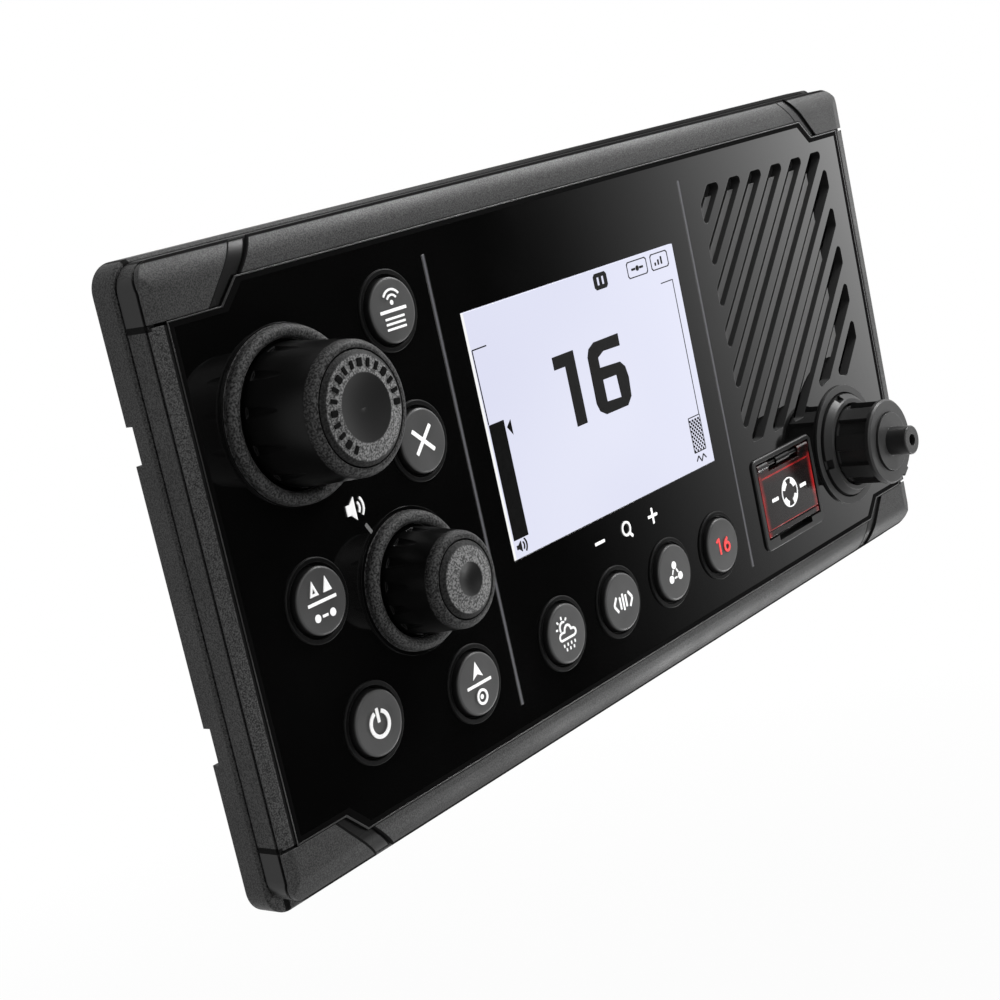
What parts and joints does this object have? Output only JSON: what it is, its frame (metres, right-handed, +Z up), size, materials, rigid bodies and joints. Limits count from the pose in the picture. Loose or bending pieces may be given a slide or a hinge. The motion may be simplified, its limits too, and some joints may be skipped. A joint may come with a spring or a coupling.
{
  "type": "vhf marine radio",
  "caption": "Flush-mount VHF marine radio with a lit display, round keys, two push knobs, a speaker grille, a covered distress button and a microphone plug.",
  "frame": {"origin": "centre of the four mounting screws on the back of the flange, the plane that lies on the dash; its height is the middle of the fascia", "axes": "-Y points at the user, +Y goes back through the dash, +X to the user's right, +Z up"},
  "size_m": [0.195, 0.0827, 0.0965],
  "materials": {
    "fascia_gloss": "glossy near-black acrylic",
    "bezel_plastic": "fine spark-eroded texture",
    "trim_plastic": "fine spark-eroded texture",
    "divider_grey": "satin",
    "screen_glass": "clear, flush with the fascia",
    "screen_lcd": "lit liquid crystal panel",
    "light_guide": "clear light guide",
    "key_plastic": "satin",
    "ring_plastic": "satin grey ring",
    "knob_plastic": "textured",
    "knob_cap_plastic": "satin",
    "silicone": "matt",
    "gasket_foam": "matt closed-cell foam",
    "housing_plastic": "matt",
    "cast_metal": "black powder-coated die casting",
    "steel": "stainless",
    "nickel": "nickel plate",
    "board_laminate": "solder-resist green",
    "shield_tin": "tin plate",
    "module_black": "matt moulded package",
    "mesh_fabric": "woven acoustic mesh",
    "cone_paper": "treated paper",
    "magnet_steel": "zinc plate",
    "flap_smoke": "smoky translucent",
    "button_red": "satin red",
    "connector_plastic": "satin"
  },
  "bodies": {
    "radio": {"fascia_panel": "fascia_gloss", "divider_strips": "divider_grey", "bezel_frame": "bezel_plastic", "rail_top": "trim_plastic", "rail_bottom": "trim_plastic", "rear_housing": "housing_plastic", "dash_gasket": "gasket_foam", "body_gasket": "gasket_foam", "chassis_heatsink": "cast_metal", "heatsink_fins": "cast_metal", "case_screws": "steel", "chassis_screws": "steel", "display_window": "screen_glass", "display_module": "screen_lcd", "backlight": "light_guide", "key_rings": "ring_plastic", "keypad_membrane": "silicone", "front_board": "board_laminate", "main_board": "board_laminate", "rf_shield": "shield_tin", "power_amplifier": "module_black", "channel_collar": "bezel_plastic", "channel_encoder": "module_black", "volume_collar": "bezel_plastic", "volume_encoder": "module_black", "speaker_mesh": "mesh_fabric", "speaker_frame": "magnet_steel", "speaker_cone": "cone_paper", "speaker_magnet": "magnet_steel", "distress_frame": "trim_plastic", "distress_hinge_pin": "steel", "distress_spring": "steel", "mic_socket": "connector_plastic", "antenna_socket": "nickel", "network_socket": "nickel", "power_gland": "connector_plastic"},
    "call_key": {"call_key": "key_plastic"},
    "cancel_key": {"cancel_key": "key_plastic"},
    "traffic_key": {"traffic_key": "key_plastic"},
    "power_key": {"power_key": "key_plastic"},
    "waypoint_key": {"waypoint_key": "key_plastic"},
    "weather_key": {"weather_key": "key_plastic"},
    "scan_key": {"scan_key": "key_plastic"},
    "watch_key": {"watch_key": "key_plastic"},
    "channel_16_key": {"channel_16_key": "key_plastic"},
    "channel_plunger": {"channel_plunger": "connector_plastic"},
    "channel_knob": {"channel_knob": "knob_plastic", "channel_knob_cap": "knob_cap_plastic", "channel_shaft": "steel"},
    "volume_plunger": {"volume_plunger": "connector_plastic"},
    "volume_knob": {"volume_knob": "knob_plastic", "volume_knob_cap": "knob_cap_plastic", "volume_shaft": "steel"},
    "distress_flap": {"distress_flap": "flap_smoke"},
    "distress_button": {"distress_button": "button_red"},
    "mic_plug": {"mic_plug": "connector_plastic"},
    "mic_nut": {"mic_nut": "connector_plastic"},
    "corner_cap_top_left": {"corner_cap_top_left": "trim_plastic"},
    "corner_cap_top_right": {"corner_cap_top_right": "trim_plastic"},
    "corner_cap_bottom_left": {"corner_cap_bottom_left": "trim_plastic"},
    "corner_cap_bottom_right": {"corner_cap_bottom_right": "trim_plastic"}
  },
  "joints": [
    {"name": "call_key_press", "type": "slide", "parent": "radio", "child": "call_key", "axis": [0, 1, 0], "range_m": [0, 0.0007], "stiffness_N_per_m": 2500},
    {"name": "cancel_key_press", "type": "slide", "parent": "radio", "child": "cancel_key", "axis": [0, 1, 0], "range_m": [0, 0.0007], "stiffness_N_per_m": 2500},
    {"name": "traffic_key_press", "type": "slide", "parent": "radio", "child": "traffic_key", "axis": [0, 1, 0], "range_m": [0, 0.0007], "stiffness_N_per_m": 2500},
    {"name": "power_key_press", "type": "slide", "parent": "radio", "child": "power_key", "axis": [0, 1, 0], "range_m": [0, 0.0007], "stiffness_N_per_m": 2500},
    {"name": "waypoint_key_press", "type": "slide", "parent": "radio", "child": "waypoint_key", "axis": [0, 1, 0], "range_m": [0, 0.0007], "stiffness_N_per_m": 2500},
    {"name": "weather_key_press", "type": "slide", "parent": "radio", "child": "weather_key", "axis": [0, 1, 0], "range_m": [0, 0.0007], "stiffness_N_per_m": 2500},
    {"name": "scan_key_press", "type": "slide", "parent": "radio", "child": "scan_key", "axis": [0, 1, 0], "range_m": [0, 0.0007], "stiffness_N_per_m": 2500},
    {"name": "watch_key_press", "type": "slide", "parent": "radio", "child": "watch_key", "axis": [0, 1, 0], "range_m": [0, 0.0007], "stiffness_N_per_m": 2500},
    {"name": "channel_16_key_press", "type": "slide", "parent": "radio", "child": "channel_16_key", "axis": [0, 1, 0], "range_m": [0, 0.0007], "stiffness_N_per_m": 2500},
    {"name": "channel_push", "type": "slide", "parent": "radio", "child": "channel_plunger", "axis": [0, 1, 0], "range_m": [0, 0.0005], "stiffness_N_per_m": 6000},
    {"name": "channel_turn", "type": "hinge", "parent": "channel_plunger", "child": "channel_knob", "pos_m": [-0.0755, -0.0095, 0.0205], "axis": [0, -1, 0], "continuous": true},
    {"name": "volume_push", "type": "slide", "parent": "radio", "child": "volume_plunger", "axis": [0, 1, 0], "range_m": [0, 0.0005], "stiffness_N_per_m": 6000},
    {"name": "volume_turn", "type": "hinge", "parent": "volume_plunger", "child": "volume_knob", "pos_m": [-0.0587, -0.0095, -0.01], "axis": [0, -1, 0], "continuous": true},
    {"name": "distress_flap_hinge", "type": "hinge", "parent": "radio", "child": "distress_flap", "pos_m": [0.05005, -0.0092, -0.0202], "axis": [-1, 0, 0], "range_deg": [0, 100], "stiffness_Nm_per_rad": 0.0004},
    {"name": "distress_button_press", "type": "slide", "parent": "radio", "child": "distress_button", "axis": [0, 1, 0], "range_m": [0, 0.0007], "stiffness_N_per_m": 3000},
    {"name": "mic_plug_pull", "type": "slide", "parent": "radio", "child": "mic_plug", "axis": [0, -1, 0], "range_m": [0, 0.012]},
    {"name": "mic_nut_turn", "type": "hinge", "parent": "mic_plug", "child": "mic_nut", "pos_m": [0.0753, -0.0145, -0.02433], "axis": [0, -1, 0], "continuous": true},
    {"name": "corner_cap_top_left_pull", "type": "slide", "parent": "radio", "child": "corner_cap_top_left", "axis": [0, -1, 0], "range_m": [0, 0.006]},
    {"name": "corner_cap_top_right_pull", "type": "slide", "parent": "radio", "child": "corner_cap_top_right", "axis": [0, -1, 0], "range_m": [0, 0.006]},
    {"name": "corner_cap_bottom_left_pull", "type": "slide", "parent": "radio", "child": "corner_cap_bottom_left", "axis": [0, -1, 0], "range_m": [0, 0.006]},
    {"name": "corner_cap_bottom_right_pull", "type": "slide", "parent": "radio", "child": "corner_cap_bottom_right", "axis": [0, -1, 0], "range_m": [0, 0.006]}
  ]
}
